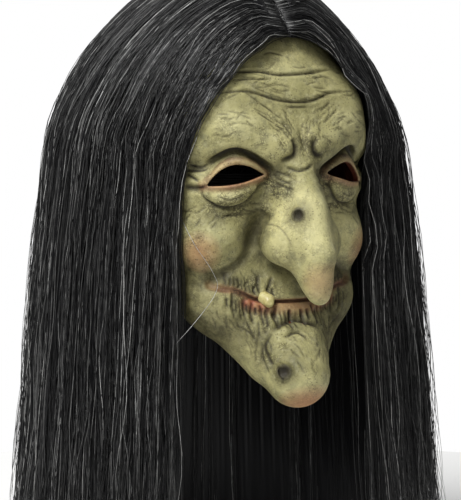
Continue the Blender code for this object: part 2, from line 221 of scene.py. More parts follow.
def carve(a, b, blend):
    """One signed distance less another, with the edge rounded."""
    return -join(-a, b, blend)


def tube(p, points, radius, reach=24.0):
    """Signed distance of a round tube along a polyline. It is only right within reach of the tube."""
    points = np.asarray(points, float)
    radius = np.broadcast_to(radius, len(points)).astype(float)
    best = np.full(p.shape[:-1], reach)
    low, high = points.min(0) - reach, points.max(0) + reach
    near = np.all((p > low) & (p < high), axis=-1)
    q = p[near]
    if len(q) == 0:
        return best
    found = np.full(len(q), reach)
    for a, b, ra, rb in zip(points[:-1], points[1:], radius[:-1], radius[1:], strict=True):
        along = b - a
        t = np.clip((q - a) @ along / (along @ along), 0, 1)
        away = np.linalg.norm(q - a - t[:, None] * along, axis=1)
        found = np.minimum(found, away - (ra + t * (rb - ra)))
    best[near] = found
    return best


def smooth_path(points, pieces=6):
    """A Catmull-Rom curve through points."""
    points = np.asarray(points, float)
    padded = np.concatenate([[2 * points[0] - points[1]], points, [2 * points[-1] - points[-2]]])
    path = []
    for a, b, c, d in zip(padded[:-3], padded[1:-2], padded[2:-1], padded[3:], strict=True):
        for n in range(pieces):
            t = n / pieces
            path.append(b + 0.5 * t * (c - a + t * (2 * a - 5 * b + 4 * c - d + t * (3 * (b - c) + d - a))))
    return np.array([*path, points[-1]])


def smooth_tube(p, points, radius, pieces=4):
    """A tube along a smooth curve, with a radius for each of the curve's own points."""
    path = smooth_path(points, pieces)
    knots = np.arange(len(points)) * pieces
    return tube(p, path, np.interp(np.arange(len(path)), knots, np.broadcast_to(radius, len(points))))


def witch_face(p):
    """Signed distance of the face, with a long jaw, heavy brow, apple cheeks and a beaked nose."""
    q = p * 1.0
    q[..., 0] = np.abs(q[..., 0])
    d = ellipsoid(p, HEAD_CENTRE, HEAD_RADII)
    # mid face and cheeks
    d = join(d, ellipsoid(p, (0, -12, -152), (70, 62, 72)), 16)
    d = join(d, capsule(q, (42, -47, -142), (43, -44, -168), 20, 22), 14)
    # jaw, muzzle and chin
    d = join(d, capsule(q, (54, -8, -184), (40, -48, -204), 17, 18), 14)
    d = join(d, capsule(q, (40, -48, -204), (14, -68, -240), 18, 14), 12)
    d = join(d, capsule(p, (0, -56, -212), (0, -84, -250), 27, 20.5), 12)
    d = join(d, capsule(q, (0, -45, -196), (27, -43, -196), 28, 26), 12)
    # cheek apples
    d = join(d, ellipsoid(q, (46, -53, -167), (19, 18, 20)), 9)
    # brows
    d = join(d, ellipsoid(q, (34, -48, -86), (32, 31, 26)), 14)
    d = join(d, capsule(q, (11, -76, -104), (40, -64, -95), 12.5, 12), 12)
    d = join(d, capsule(q, (40, -64, -95), (63, -48, -107), 12, 9), 12)
    # eyelids
    d = carve(d, capsule(q, (24, -88, -121), (58, -70, -125), 6, 5), 6)
    d = join(d, capsule(q, (33, -64, -125), (55, -49, -130), 16, 13), 6)
    # nose
    d = join(d, capsule(p, (0, -74, -122), (0, -86, -158), 13, 18), 12)
    d = join(d, capsule(q, (6, -88, -138), (8, -97, -170), 8, 11), 10)
    d = join(d, capsule(p, (0, -84.5, -116), (0, -101.5, -146), 7, 7.5), 8)
    d = join(d, capsule(p, (0, -101.5, -146), (0, -112, -172), 7.5, 8.5), 8)
    d = join(d, capsule(p, (0, -112, -172), (0, -107.5, -197), 8.5, 7.5), 4)
    d = join(d, capsule(p, (0, -94, -165), (0, -103, -189), 15, 10), 8)
    d = join(d, ellipsoid(q, (16, -87, -166), (10, 13, 12)), 9)
    # mouth
    d = carve(d, capsule(q, (0, -92, -204), (30, -83, -201), 14, 6), 8)
    # nasolabial fold
    d = carve(d, capsule(q, (30, -86, -162), (54, -68, -190), 4, 4), 7)
    return d


def on_front(points, face):
    """Points of a face's front at places given as (x, z), found by stepping back from before the nose."""
    points = np.asarray(points, float)
    p = np.stack([points[:, 0], np.full(len(points), BEFORE_NOSE_Y), points[:, 1]], 1)
    for _ in range(45):
        p[:, 1] += 0.75 * np.clip(face(p), -4, 10)
    return p


# Paths on the right half of the face, from the outer end inwards, with X given as a positive distance.
# The lids and the mouth are given as (x, z) and lie on the sculpt.
UPPER_LID = on_front(
    ((57, -130.5), (52, -125.5), (47, -119.5), (41, -116), (35, -116.5), (28, -119.5), (22, -123.5)),
    witch_face,
)
LOWER_LID = on_front(
    ((57, -130.5), (50, -130.5), (43, -130), (36, -128), (27, -126), (22, -123.5)),
    witch_face,
)
MOUTH = on_front(
    ((51, -192.5), (44, -195), (38, -196), (31, -199), (24, -202), (15, -203.5), (0, -204)),
    witch_face,
)
NASOLABIAL = (
    (22, -76, -152),
    (24, -72, -160),
    (25, -69.5, -168),
    (31, -68.5, -177),
    (40, -68, -183.5),
    (49, -63.5, -189.5),
)
LOWER_LIP = ((30, -70.5, -204), (24, -72.5, -206), (16, -75, -208), (8, -77, -209), (0, -78, -209))
UPPER_LIP = ((34, -70, -195.5), (25, -72, -199), (16, -74.5, -200.5), (7, -76, -201), (0, -76.5, -201))
EYE_BAG = ((54, -65, -134.5), (46, -69.5, -137.5), (38, -74, -136.5), (30, -77.5, -131.5))
BROW_ROLL = (
    (60, -53, -110),
    (53, -60.5, -104),
    (44, -66, -97.5),
    (35, -72, -96),
    (26, -76.5, -101),
    (17, -80.5, -106),
    (10, -82.5, -105),
)
LID_CREASE = (
    (55, -65.5, -118.5),
    (50, -70, -113.5),
    (44, -76, -109),
    (37, -80, -109.5),
    (29, -82, -113.5),
    (21, -83, -118.5),
    (18.5, -82.5, -123),
)
# Each wart has its place, the direction that it faces and its radius.
WARTS = (
    ((-10.5, -102.5, -147.5), (-0.75, -0.66, 0), 5.6),
    ((-16.5, -95.5, -245.5), (-0.62, -0.78, 0.05), 6.2),
)


def detailed_face(p):
    """The face with its brow rolls, lids, bags, lips, folds and warts."""
    q = p * 1.0
    q[..., 0] = np.abs(q[..., 0])
    d = witch_face(p)
    d = join(d, smooth_tube(q, BROW_ROLL, (5, 8, 10, 11, 10, 9, 7)), 9)
    d = carve(d, smooth_tube(q, LID_CREASE, (1.0, 1.8, 2.4, 2.6, 2.6, 2.2, 1.4)), 1.8)
    d = join(d, smooth_tube(q, EYE_BAG, (2.5, 4.5, 4.5, 2.5)), 4)
    d = join(d, smooth_tube(q, UPPER_LID, 2.6), 2.5)
    d = join(d, smooth_tube(q, LOWER_LID, 1.9), 2)
    d = carve(d, smooth_tube(q, NASOLABIAL, (3.6, 3.5, 2.4, 1.1, 0.9, 1.6)), 5)
    d = join(d, smooth_tube(q, LOWER_LIP, (1.0, 2.2, 3.0, 3.4, 3.4)), 3)
    d = join(d, smooth_tube(q, UPPER_LIP, (0.6, 1.4, 1.8, 2.0, 2.0)), 3)
    d = carve(d, smooth_tube(q, MOUTH, (2.4, 1.3, 0.7, 0.7, 0.7, 0.7, 0.7)), 1.6)
    for place, out, radius in WARTS:
        place, out = np.asarray(place, float), np.asarray(out, float)
        d = join(d, ellipsoid(p, place - 0.35 * radius * out, (radius,) * 3), 1.8)
        d = carve(d, ellipsoid(p, place + 0.62 * radius * out, (0.6 * radius,) * 3), 0.8)
    return d


def eye_axes():
    """The middle of the eye hole, the way from its outer to its inner corner, and the way up across it."""
    along = EYE_INNER - EYE_OUTER
    along /= np.linalg.norm(along)
    up = np.array((0, 0, 1.0)) - along[2] * along
    up /= np.linalg.norm(up)
    return (EYE_INNER + EYE_OUTER) / 2, along, up


def eye_hole(q):
    """Negative inside the almond-shaped eye hole, which runs straight through the skin."""
    centre, along, up = eye_axes()
    u, w = (q - centre) @ along, (q - centre) @ up
    top = EYE_RISE * (1 - ((u - EYE_PEAK) / EYE_HALF_TOP) ** 2)
    bottom = -EYE_DROP * (1 - (u / EYE_HALF_BOTTOM) ** 2)
    hole = np.maximum((w - top) * 0.75, (bottom - w) * 0.95)
    return np.maximum(hole, q[..., 1] - EYE_DEPTH_Y)


def outline(p):
    """Positive outside the kept part of the skin, seen from the side."""
    y, z = p[..., 1], p[..., 2]
    slope = (BACK_EDGE[1] - FOREHEAD_EDGE[1]) / (BACK_EDGE[0] - FOREHEAD_EDGE[0])
    top = (z - FOREHEAD_EDGE[1] - slope * (y - FOREHEAD_EDGE[0])) / math.hypot(1, slope)
    jaw = None
    for (y0, z0), (y1, z1) in zip(JAW_EDGE[:-1], JAW_EDGE[1:], strict=True):
        dy, dz = y1 - y0, z1 - z0
        away = (dy * (z - z0) - dz * (y - y0)) / math.hypot(dy, dz)
        jaw = away if jaw is None else np.minimum(jaw, away)
    return np.maximum(np.maximum(top, y - BACK_EDGE[0]), jaw)


def skin(p):
    """Signed distance of the latex: a wall inside the face, trimmed at its edges and open at the eyes."""
    q = p * 1.0
    q[..., 0] = np.abs(q[..., 0])
    face = detailed_face(p)
    wall = np.maximum(face, -face - LATEX_WALL)
    wall = carve(wall, -outline(p), 1.2)
    wall = carve(wall, eye_hole(q), 1.0)
    return carve(wall, tube(q, NOSTRIL, NOSTRIL_RADIUS), 0.8)


# --- Wrinkles, as paths across the face seen from the front -----------------

# Each kind has the half width and depth of its groove, and how much painted shade darkens it.
GROOVES = {
    "fold": (2.0, 1.8, 1.0),
    "line": (1.0, 1.1, 1.0),
    "fine": (0.7, 0.6, 0.85),
    "scratch": (0.6, 0.3, 0.6),
}

# Paths given as (x, z). The paired ones are on both halves of the face.
MIDDLE_WRINKLES = (
    ("fine", ((-16, -49.5), (-11, -48), (-2.5, -50))),
    ("line", ((-44, -60), (-22, -60), (-8, -62), (14, -61), (32, -59))),
    ("fine", ((-40, -65), (-24, -64.5), (-15, -65))),
    ("line", ((-52, -73), (-32, -72), (-15, -77), (0, -79), (13, -78), (27, -73.5), (40, -73))),
    ("fine", ((-8, -82), (9, -82))),
    ("fold", ((-8, -101), (-6, -107), (-8, -112), (-15, -115))),
    ("fold", ((8.5, -100), (7, -107), (10, -112), (16, -113))),
    ("fine", ((-8, -88), (-5, -96))),
    ("fine", ((-12.5, -91.5), (-8, -101))),
    ("line", ((-11, -119), (-5, -121), (6, -117.5))),
    ("fine", ((-17, -121), (-9, -124.5))),
    ("fold", ((-18, -222), (-14, -218), (-3, -215), (10, -218), (16, -221))),
    ("line", ((-13, -225), (-5, -222), (1.5, -226))),
)
PAIRED_WRINKLES = (
    ("fine", ((26, -79), (17, -85))),
    ("fine", ((29, -84.5), (18, -92))),
    ("fine", ((16, -125), (10, -129.5))),
    ("fine", ((18, -127.5), (10, -133))),
    ("line", ((63, -117.5), (57, -119), (53, -117))),
    ("line", ((65, -121), (57, -121), (53, -119))),
    ("line", ((64, -123), (59, -127.5))),
    ("fold", ((66, -130.5), (61, -132), (56, -130.5))),
    ("fold", ((54, -118), (49, -112), (42, -107.5), (36, -109), (27, -114), (19, -120), (19, -124))),
    ("line", ((59, -132), (55, -139), (45, -144), (34, -141), (25, -131), (20, -128))),
    ("fine", ((51, -136.5), (44, -139), (36, -136))),
    ("scratch", ((24, -156), (22, -154), (20, -157), (17, -166))),
    ("line", ((21, -187), (22, -192), (22, -198))),
    ("fine", ((23, -193), (27, -198))),
    ("line", ((12.5, -188), (17, -198))),
    ("fine", ((28, -190.5), (32, -194))),
    ("fine", ((33, -191.5), (36, -194.5))),
    ("line", ((39, -197), (40, -207))),
    ("fine", ((39.5, -207.5), (38, -214))),
    ("line", ((32, -201), (32, -213))),
    ("line", ((27, -203), (28, -212))),
    ("fine", ((25.5, -206.5), (25.5, -212))),
    ("line", ((22.5, -205), (22, -210))),
    ("line", ((18, -206), (20, -220))),
    ("line", ((13, -206), (15, -214.5))),
    ("line", ((4, -208.5), (4.5, -214))),
    ("fine", ((31, -215), (28, -224))),
    ("fine", ((24, -215), (25, -226))),
    ("line", ((18, -222), (22.5, -230), (21.5, -238), (18, -251), (16, -253))),
    ("fine", ((24, -228), (24, -238), (21, -249))),
    ("fine", ((37, -217.5), (30, -222), (27, -227))),
)


def nearest(points, path, reach):
    """For each point, its distance to a path and how far along the path that is, from 0 to 1."""
    away = np.full(len(points), reach)
    share = np.zeros(len(points))
    low, high = path.min(0) - reach, path.max(0) + reach
    near = np.where(np.all((points > low) & (points < high), axis=1))[0]
    lengths = np.linalg.norm(np.diff(path, axis=0), axis=1)
    start = np.concatenate([[0], np.cumsum(lengths)]) / max(lengths.sum(), 1e-9)
    for n, (a, b) in enumerate(zip(path[:-1], path[1:], strict=True)):
        along = b - a
        t = np.clip((points[near] - a) @ along / max(along @ along, 1e-9), 0, 1)
        gap = np.linalg.norm(points[near] - a - t[:, None] * along, axis=1)
        closer = gap < away[near]
        away[near[closer]] = gap[closer]
        share[near[closer]] = (start[n] + t * (start[n + 1] - start[n]))[closer]
    return away, share


# --- Meshes -----------------------------------------------------------------


def sparse_net(distance, low, high, cell):
    """Points and quads of the zero level of a signed distance.

    The grid is filled in three rounds, each three times finer, and only where the last one came close.
    """
    axes = [np.arange(a, b + cell, cell) for a, b in zip(low, high, strict=True)]
    grid, level = None, None
    for skip in (9, 3, 1):
        finer = [axis[::skip] for axis in axes]
        near = np.ones([len(axis) for axis in finer], bool)
        if grid:
            pick = [
                np.minimum((np.arange(len(fine)) + 1) // 3, len(coarse) - 1)
                for fine, coarse in zip(finer, grid, strict=True)
            ]
            near = np.abs(level[np.ix_(*pick)]) < 3.0 * skip * cell
        at = np.argwhere(near)
        places = np.stack([axis[at[:, n]] for n, axis in enumerate(finer)], 1)
        parts = np.array_split(places, max(1, len(places) // 60000))
        level = np.full(near.shape, 99.0)
        level[near] = np.concatenate([distance(part) for part in parts])
        grid = finer
    inside = level < 0
    corners = [(i, j, k) for i in (0, 1) for j in (0, 1) for k in (0, 1)]
    crossed = np.zeros([n - 1 for n in level.shape], bool)
    for corner in corners:
        shifted = inside[tuple(slice(o, o + n) for o, n in zip(corner, crossed.shape, strict=True))]
        crossed |= shifted != inside[:-1, :-1, :-1]
    cells = np.argwhere(crossed)
    number = np.full(crossed.shape, -1, np.int32)
    number[crossed] = np.arange(len(cells))
    total, count = np.zeros((len(cells), 3)), np.zeros(len(cells))
    for a in corners:
        for axis in range(3):
            if a[axis]:
                continue
            b = tuple(o + (n == axis) for n, o in enumerate(a))
            va, vb = level[tuple((cells + a).T)], level[tuple((cells + b).T)]
            cut = (va < 0) != (vb < 0)
            share = np.where(cut, va / np.where(cut, va - vb, 1), 0)
            point = cells + np.asarray(a) + share[:, None] * (np.asarray(b) - a)
            total += np.where(cut[:, None], point, 0)
            count += cut
    points = np.asarray(low, float) + cell * total / count[:, None]
    quads = []
    for axis in range(3):
        u, v = (axis + 1) % 3, (axis + 2) % 3
        lower = [slice(1, -1)] * 3
        lower[axis] = slice(0, -1)
        upper = list(lower)
        upper[axis] = slice(1, None)
        starts, ends = inside[tuple(lower)], inside[tuple(upper)]
        for flip in (False, True):
            found = np.argwhere((starts & ~ends) if not flip else (~starts & ends))
            found[:, u] += 1
            found[:, v] += 1
            ring = []
            for du, dv in ((-1, -1), (0, -1), (0, 0), (-1, 0)):
                step = found.copy()
                step[:, u] += du
                step[:, v] += dv
                ring.append(number[tuple(step.T)])
            quads.append(np.stack(ring[::-1] if flip else ring, 1))
    return points, np.concatenate(quads)


def gradient(points, distance, step=0.3):
    """The direction in which a signed distance grows, from the corners of a tetrahedron."""
    slope = 0
    for corner in ((1, -1, -1), (-1, -1, 1), (-1, 1, -1), (1, 1, 1)):
        slope = slope + np.array(corner) * distance(points + step * np.array(corner))[:, None]
    return slope / (np.linalg.norm(slope, axis=1, keepdims=True) + 1e-9)


def mesh_object(name, points, faces, material, attributes=None):
    """A smooth object from points in millimetres. Each attribute has one number for each point."""
    mesh = bpy.data.meshes.new(name)
    faces = np.asarray(faces)
    sides = faces.shape[1]
    mesh.vertices.add(len(points))
    mesh.vertices.foreach_set("co", (np.asarray(points) * MM).astype(np.float32).ravel())
    mesh.loops.add(faces.size)
    mesh.loops.foreach_set("vertex_index", faces.ravel().astype(np.int32))
    mesh.polygons.add(len(faces))
    mesh.polygons.foreach_set("loop_start", np.arange(0, faces.size, sides, dtype=np.int32))
    mesh.update(calc_edges=True)
    mesh.validate()
    mesh.shade_smooth()
    for key, values in (attributes or {}).items():
        mesh.attributes.new(key, "FLOAT", "POINT").data.foreach_set("value", np.asarray(values, np.float32))
    mesh.materials.append(material)
    return link(bpy.data.objects.new(name, mesh))


# --- Materials --------------------------------------------------------------


def srgb(red, green, blue):
    """A linear colour from the 0 to 255 values of a display, each above 10."""
    return tuple(((c / 255 + 0.055) / 1.055) ** 2.4 for c in (red, green, blue))


class Nodes:
    """A material's node tree, with short ways to add the nodes used here."""

    def __init__(self, name):
        self.material = bpy.data.materials.new(name)
        self.material.use_nodes = True
        self.tree = self.material.node_tree
        self.shader = self.tree.nodes["Principled BSDF"]
        self.place = self.add("ShaderNodeTexCoord").outputs["Object"]

    def add(self, kind, inputs=None, **settings):
        node = self.tree.nodes.new(kind)
        for key, value in settings.items():
            setattr(node, key, value)
        for key, value in (inputs or {}).items():
            self.put(node.inputs[key], value)
        return node

    def put(self, socket, value):
        if isinstance(value, bpy.types.NodeSocket):
            self.tree.links.new(value, socket)
        else:
            socket.default_value = value

    def set(self, **inputs):
        for key, value in inputs.items():
            self.put(self.shader.inputs[key.replace("_", " ")], value)

    def noise(self, scale, detail=2.0, rough=0.5, place=None):
        made = {"Vector": place or self.place, "Scale": scale, "Detail": detail, "Roughness": rough}
        return self.add("ShaderNodeTexNoise", made).outputs["Fac"]

    def cells(self, scale, place=None, feature="F1"):
        made = {"Vector": place or self.place, "Scale": scale}
        return self.add("ShaderNodeTexVoronoi", made, feature=feature).outputs["Distance"]

    def bands(self, scale, distortion, place=None, direction="X"):
        made = {"Vector": place or self.place, "Scale": scale, "Distortion": distortion}
        return self.add("ShaderNodeTexWave", made, bands_direction=direction).outputs["Fac"]

    def warped(self, amount, scale):
        """Object coordinates pushed about by a noise."""
        noise = self.add("ShaderNodeTexNoise", {"Vector": self.place, "Scale": scale, "Detail": 2.0})
        made = {0: noise.outputs["Color"], 1: (amount,) * 3}
        push = self.add("ShaderNodeVectorMath", made, operation="MULTIPLY").outputs[0]
        return self.add("ShaderNodeVectorMath", {0: self.place, 1: push}, operation="ADD").outputs[0]

    def attribute(self, name):
        return self.add("ShaderNodeAttribute", attribute_name=name).outputs["Fac"]

    def ramp(self, value, low, high, out_low=0.0, out_high=1.0):
        made = {"Value": value, "From Min": low, "From Max": high, "To Min": out_low, "To Max": out_high}
        return self.add("ShaderNodeMapRange", made).outputs["Result"]

    def maths(self, operation, a, b=0.0):
        return self.add("ShaderNodeMath", {0: a, 1: b}, operation=operation).outputs[0]

    def mix(self, share, a, b):
        a, b = (c if isinstance(c, bpy.types.NodeSocket) else (*c, 1) for c in (a, b))
        made = {0: share, 6: a, 7: b}
        return self.add("ShaderNodeMix", made, data_type="RGBA").outputs[2]

    def bump(self, height, strength, distance, normal=None):
        made = {"Height": height, "Strength": strength, "Distance": distance}
        if normal:
            made["Normal"] = normal
        return self.add("ShaderNodeBump", made).outputs["Normal"]


PAINTED = ("crease_shade", "blush", "rim", "lip", "wart", "shade", "worn", "painted_highlight", "inner")


def latex_paint():
    """Olive latex: mottled, speckled and cracked, pink at lids and lips, with painted shade in the creases
    and hollows and painted highlights on the raised parts.
    """
    n = Nodes("latex")
    crease_shade, blush, rim, lip, wart, shade, worn, painted_highlight, inner = map(n.attribute, PAINTED)
    # mottled base
    broad = n.ramp(n.noise(34, 4, 0.6), 0.35, 0.66)
    colour = n.mix(broad, srgb(158, 153, 104), srgb(202, 195, 138))
    blotch = n.ramp(n.noise(110, 6, 0.7), 0.50, 0.70)
    colour = n.mix(n.maths("MULTIPLY", blotch, 0.7), colour, srgb(110, 110, 84))
    pale = n.ramp(n.noise(230, 3, 0.6), 0.54, 0.74, 0, 0.4)
    colour = n.mix(pale, colour, srgb(218, 213, 168))
    # painted highlights, painted shade and coloured places
    highlight_share = n.maths("MULTIPLY", painted_highlight, n.ramp(n.noise(60, 3), 0.3, 0.6, 0.6, 1.0))
    colour = n.mix(highlight_share, colour, srgb(232, 226, 170))
    # painted shade: darker paint where shade falls in the hollows and under the cheeks
    shade_share = n.maths("MULTIPLY", shade, n.ramp(n.noise(150, 5, 0.7), 0.32, 0.62, 0.55, 1.0))
    colour = n.mix(shade_share, colour, srgb(70, 66, 40))
    colour = n.mix(blush, colour, srgb(184, 112, 78))
    colour = n.mix(rim, colour, srgb(176, 112, 86))
    colour = n.mix(lip, colour, srgb(176, 84, 66))
    # fine cracks
    ridge = n.maths("SUBTRACT", n.noise(250, 6, 0.62, n.warped(0.004, 120)), 0.5)
    lines = n.ramp(n.maths("ABSOLUTE", ridge), 0.006, 0.042, 1.0, 0.0)
    net = n.cells(420, n.warped(0.006, 170), "DISTANCE_TO_EDGE")
    cracks = n.maths("MAXIMUM", lines, n.ramp(net, 0.02, 0.15, 0.9, 0.0))
    cracks = n.maths("MULTIPLY", cracks, n.ramp(n.noise(95, 4, 0.65), 0.42, 0.60))
    cracks = n.maths("MULTIPLY", cracks, n.ramp(worn, 0.0, 1.0, 0.34, 1.0))
    colour = n.mix(cracks, colour, srgb(58, 50, 32))
    # painted shade in the creases, pores, warts, and the inside painted dark reddish brown as shade
    crease_shade = n.maths("MULTIPLY", crease_shade, n.ramp(n.noise(420, 3, 0.7), 0.30, 0.58, 0.8, 1.0))
    colour = n.mix(crease_shade, colour, srgb(40, 34, 22))
    pores = n.ramp(n.cells(560), 0.12, 0.30, 0.75, 0.0)
    pores = n.maths("MULTIPLY", pores, n.ramp(n.noise(85, 3), 0.46, 0.62))
    colour = n.mix(pores, colour, srgb(70, 62, 38))
    colour = n.mix(wart, colour, srgb(38, 32, 27))
    # the inside is painted dark reddish brown, a painted shade where little light reaches
    colour = n.mix(inner, colour, srgb(92, 40, 22))
    # surface
    grain = n.bump(n.noise(520, 4, 0.6), 0.55, 0.0007)
    split = n.bump(cracks, 0.5, 0.0008, grain)
    split.node.invert = True
    n.set(
        Base_Color=colour,
        Roughness=n.ramp(n.noise(160, 3), 0.3, 0.7, 0.48, 0.64),
        Specular_IOR_Level=0.35,
        Normal=n.bump(n.ramp(n.cells(560), 0.05, 0.35), 0.4, 0.0005, split),
    )
    return n.material


# --- The face ---------------------------------------------------------------

FACE_CELL = 0.9
FACE_LOW = (-93.0, -129.0, -280.0)
FACE_HIGH = (93.0, 24.0, -24.0)


def ball(points, centre, radius, power=1.0):
    """1 at a place, falling smoothly to 0 at a distance."""
    away = np.linalg.norm((points - np.asarray(centre, float)) / np.asarray(radius, float), axis=1)
    return np.clip(1 - away * away, 0, 1) ** power


# Painted shade, on both sides of the face: places painted darker where shade falls. Each has a centre, its
# radii and a strength.
PAINTED_SHADE_SPOTS = (
    ((25, -76, -158), (12, 14, 15), 1.0),
    ((17, -84, -121), (9, 12, 8), 0.6),
    ((40, -76, -111), (20, 14, 7), 0.55),
    ((61, -58, -126), (11, 14, 13), 0.55),
    ((46, -66, -189), (17, 14, 9), 1.0),
    ((30, -70, -190), (15, 12, 9), 0.35),
    ((47, -52, -213), (26, 30, 28), 1.0),
    ((23, -82, -232), (7, 12, 16), 0.7),
    ((0, -86, -217), (22, 14, 7), 0.55),
    ((0, -88, -106), (13, 14, 14), 0.4),
    ((24, -80, -80), (34, 20, 7), 0.35),
    ((68, -40, -104), (20, 30, 26), 0.6),
    ((13, -90, -132), (8, 12, 14), 0.4),
    ((50, -60, -150), (20, 18, 11), 0.6),
    ((24, -74, -154), (8, 12, 10), 1.0),
    ((28, -76, -142), (14, 14, 8), 0.4),
    ((68, -40, -182), (15, 26, 38), 0.75),
    ((60, -50, -185), (15, 24, 26), 0.8),
    ((30, -74, -212), (18, 18, 20), 0.45),
    ((36, -66, -228), (18, 22, 20), 0.6),
    ((8, -98, -238), (14, 14, 14), 0.45),
    ((28, -72, -196), (24, 14, 10), 0.4),
    ((52, -40, -222), (20, 30, 22), 0.7),
    ((30, -76, -70), (24, 18, 7), 0.25),
)
# Painted highlights: places on the raised parts painted paler, where the light falls on them.
PAINTED_HIGHLIGHTS = (
    ((38, -76, -92), (20, 16, 11), 0.7),
    ((24, -82, -100), (12, 12, 6), 0.6),
    ((0, -108, -160), (13, 22, 34), 0.5),
    ((0, -114, -190), (10, 14, 14), 0.6),
    ((18, -92, -166), (9, 12, 10), 0.5),
    ((0, -100, -256), (22, 18, 12), 0.4),
    ((42, -72, -137), (14, 10, 5), 0.5),
    ((48, -68, -160), (14, 14, 9), 0.4),
    ((0, -76, -60), (26, 14, 9), 0.3),
)
# Pink places on the cheeks, and on the tips of the nose and chin.
CHEEK_BLUSH = (((59, -64, -172), 15, 0.45),)
NOSE_AND_CHIN_BLUSH = (((0, -115, -188), 15, 0.35), ((0, -98, -268), (22, 22, 16), 0.7))
# Places where fine cracks show most.
WORN = (
    ((19, -84, -132), (17, 18, 20), 1.0),
    ((38, -74, -144), (26, 18, 14), 0.8),
    ((14, -86, -104), (20, 18, 14), 0.9),
    ((30, -74, -198), (26, 18, 16), 0.7),
    ((20, -82, -225), (16, 18, 18), 0.7),
    ((55, -60, -172), (16, 18, 18), 0.5),
)
NOSE_TIP_HALF_WIDTH = 13.0
# Patches of short fine lines on each half: centre, spread, the lines' angle, their length and number.
SCRATCHED = (
    ((24, -67), (22, 11), 0, 15, 16),
    ((8, -92), (6, 9), 70, 9, 9),
    ((26, -90), (14, 6), 35, 9, 12),
    ((44, -92), (12, 8), -15, 9, 10),
    ((40, -146), (14, 5), -12, 10, 12),
    ((58, -150), (7, 8), -35, 9, 7),
    ((14, -128), (5, 9), 155, 7, 11),
    ((30, -186), (8, 5), 60, 6, 6),
    ((27, -226), (6, 12), 82, 10, 12),
    ((8, -234), (9, 12), 60, 7, 9),
    ((44, -212), (10, 8), 60, 9, 8),
)


def scratches():
    """Short fine lines scattered in patches."""
    rng = np.random.default_rng(8)
    paths = []
    for side in (-1, 1):
        for centre, spread, angle, length, count in SCRATCHED:
            for _ in range(count):
                x, z = np.array(centre) + np.array(spread) * rng.uniform(-1, 1, 2)
                turn = math.radians(angle + rng.normal(0, 14))
                reach = 0.5 * length * rng.uniform(0.5, 1.2)
                dx, dz, bow = reach * math.cos(turn), reach * math.sin(turn), rng.normal(0, 0.12)
                path = ((x - dx, z - dz), (x - bow * dz, z + bow * dx), (x + dx, z + dz))
                paths.append(("scratch", tuple((side * px, pz) for px, pz in path)))
    return paths


def lip_wrinkles():
    """Short upright lines above and below the mouth, uneven in length, spacing and lean."""
    rng = np.random.default_rng(5)
    line = np.array(MOUTH)[::-1]
    paths = []
    for side in (-1, 1):
        for x in np.arange(3, 45, 2.7):
            x = x + rng.uniform(-0.9, 0.9)
            mouth = np.interp(x, line[:, 0], line[:, 2])
            for lift, length, lean in ((2.2, 7, -0.10), (-5.0, -10, 0.06)):
                if lift > 0 and x < NOSE_TIP_HALF_WIDTH:
                    continue
                reach = length * rng.uniform(0.5, 1.25)
                bend = (lean + rng.uniform(-0.12, 0.12)) * reach
                start = mouth + lift
                kind = "line" if rng.uniform() < 0.35 else "fine"
                path = ((x, start), (x + 0.3 * bend, start + 0.5 * reach), (x + bend, start + reach))
                paths.append((kind, tuple((side * px, pz) for px, pz in path)))
    return paths


def wrinkle_depths(points):
    """How deep the wrinkles cut at each point, and how much painted shade darkens them."""
    depth, crease_shade = np.zeros(len(points)), np.zeros(len(points))
    paths = list(MIDDLE_WRINKLES)
    for kind, path in PAIRED_WRINKLES:
        paths.append((kind, path))
        paths.append((kind, tuple((-x, z) for x, z in path)))
    paths += lip_wrinkles() + scratches()
    curves = [smooth_path(path, 5) for _, path in paths]
    ends = np.cumsum([len(curve) for curve in curves])[:-1]
    lines = np.split(on_front(np.concatenate(curves), detailed_face), ends)
    for (kind, _), line in zip(paths, lines, strict=True):
        half_width, cut, dark = GROOVES[kind]
        away, share = nearest(points, line, 5 * half_width)
        taper = np.sqrt(np.clip(np.minimum(share, 1 - share) * 5, 0, 1))
        dip = np.exp(-((away / half_width) ** 2))
        swell = np.exp(-(((away - 2.4 * half_width) / (1.3 * half_width)) ** 2))
        depth += cut * taper * (dip - 0.28 * swell)
        # painted shade along each groove
        crease_shade = np.maximum(crease_shade, dark * taper * np.exp(-((away / (0.9 * half_width)) ** 2)))
    return depth, crease_shade


def strongest(points, places, power=1.0):
    """The strongest of several soft spots at each point."""
    spots = [strength * ball(points, centre, radii, power) for centre, radii, strength in places]
    return np.max(spots, axis=0)


def glow(distance, reach):
    """1 on a line, falling away to nothing past its reach."""
    return np.exp(-((distance / reach) ** 2))


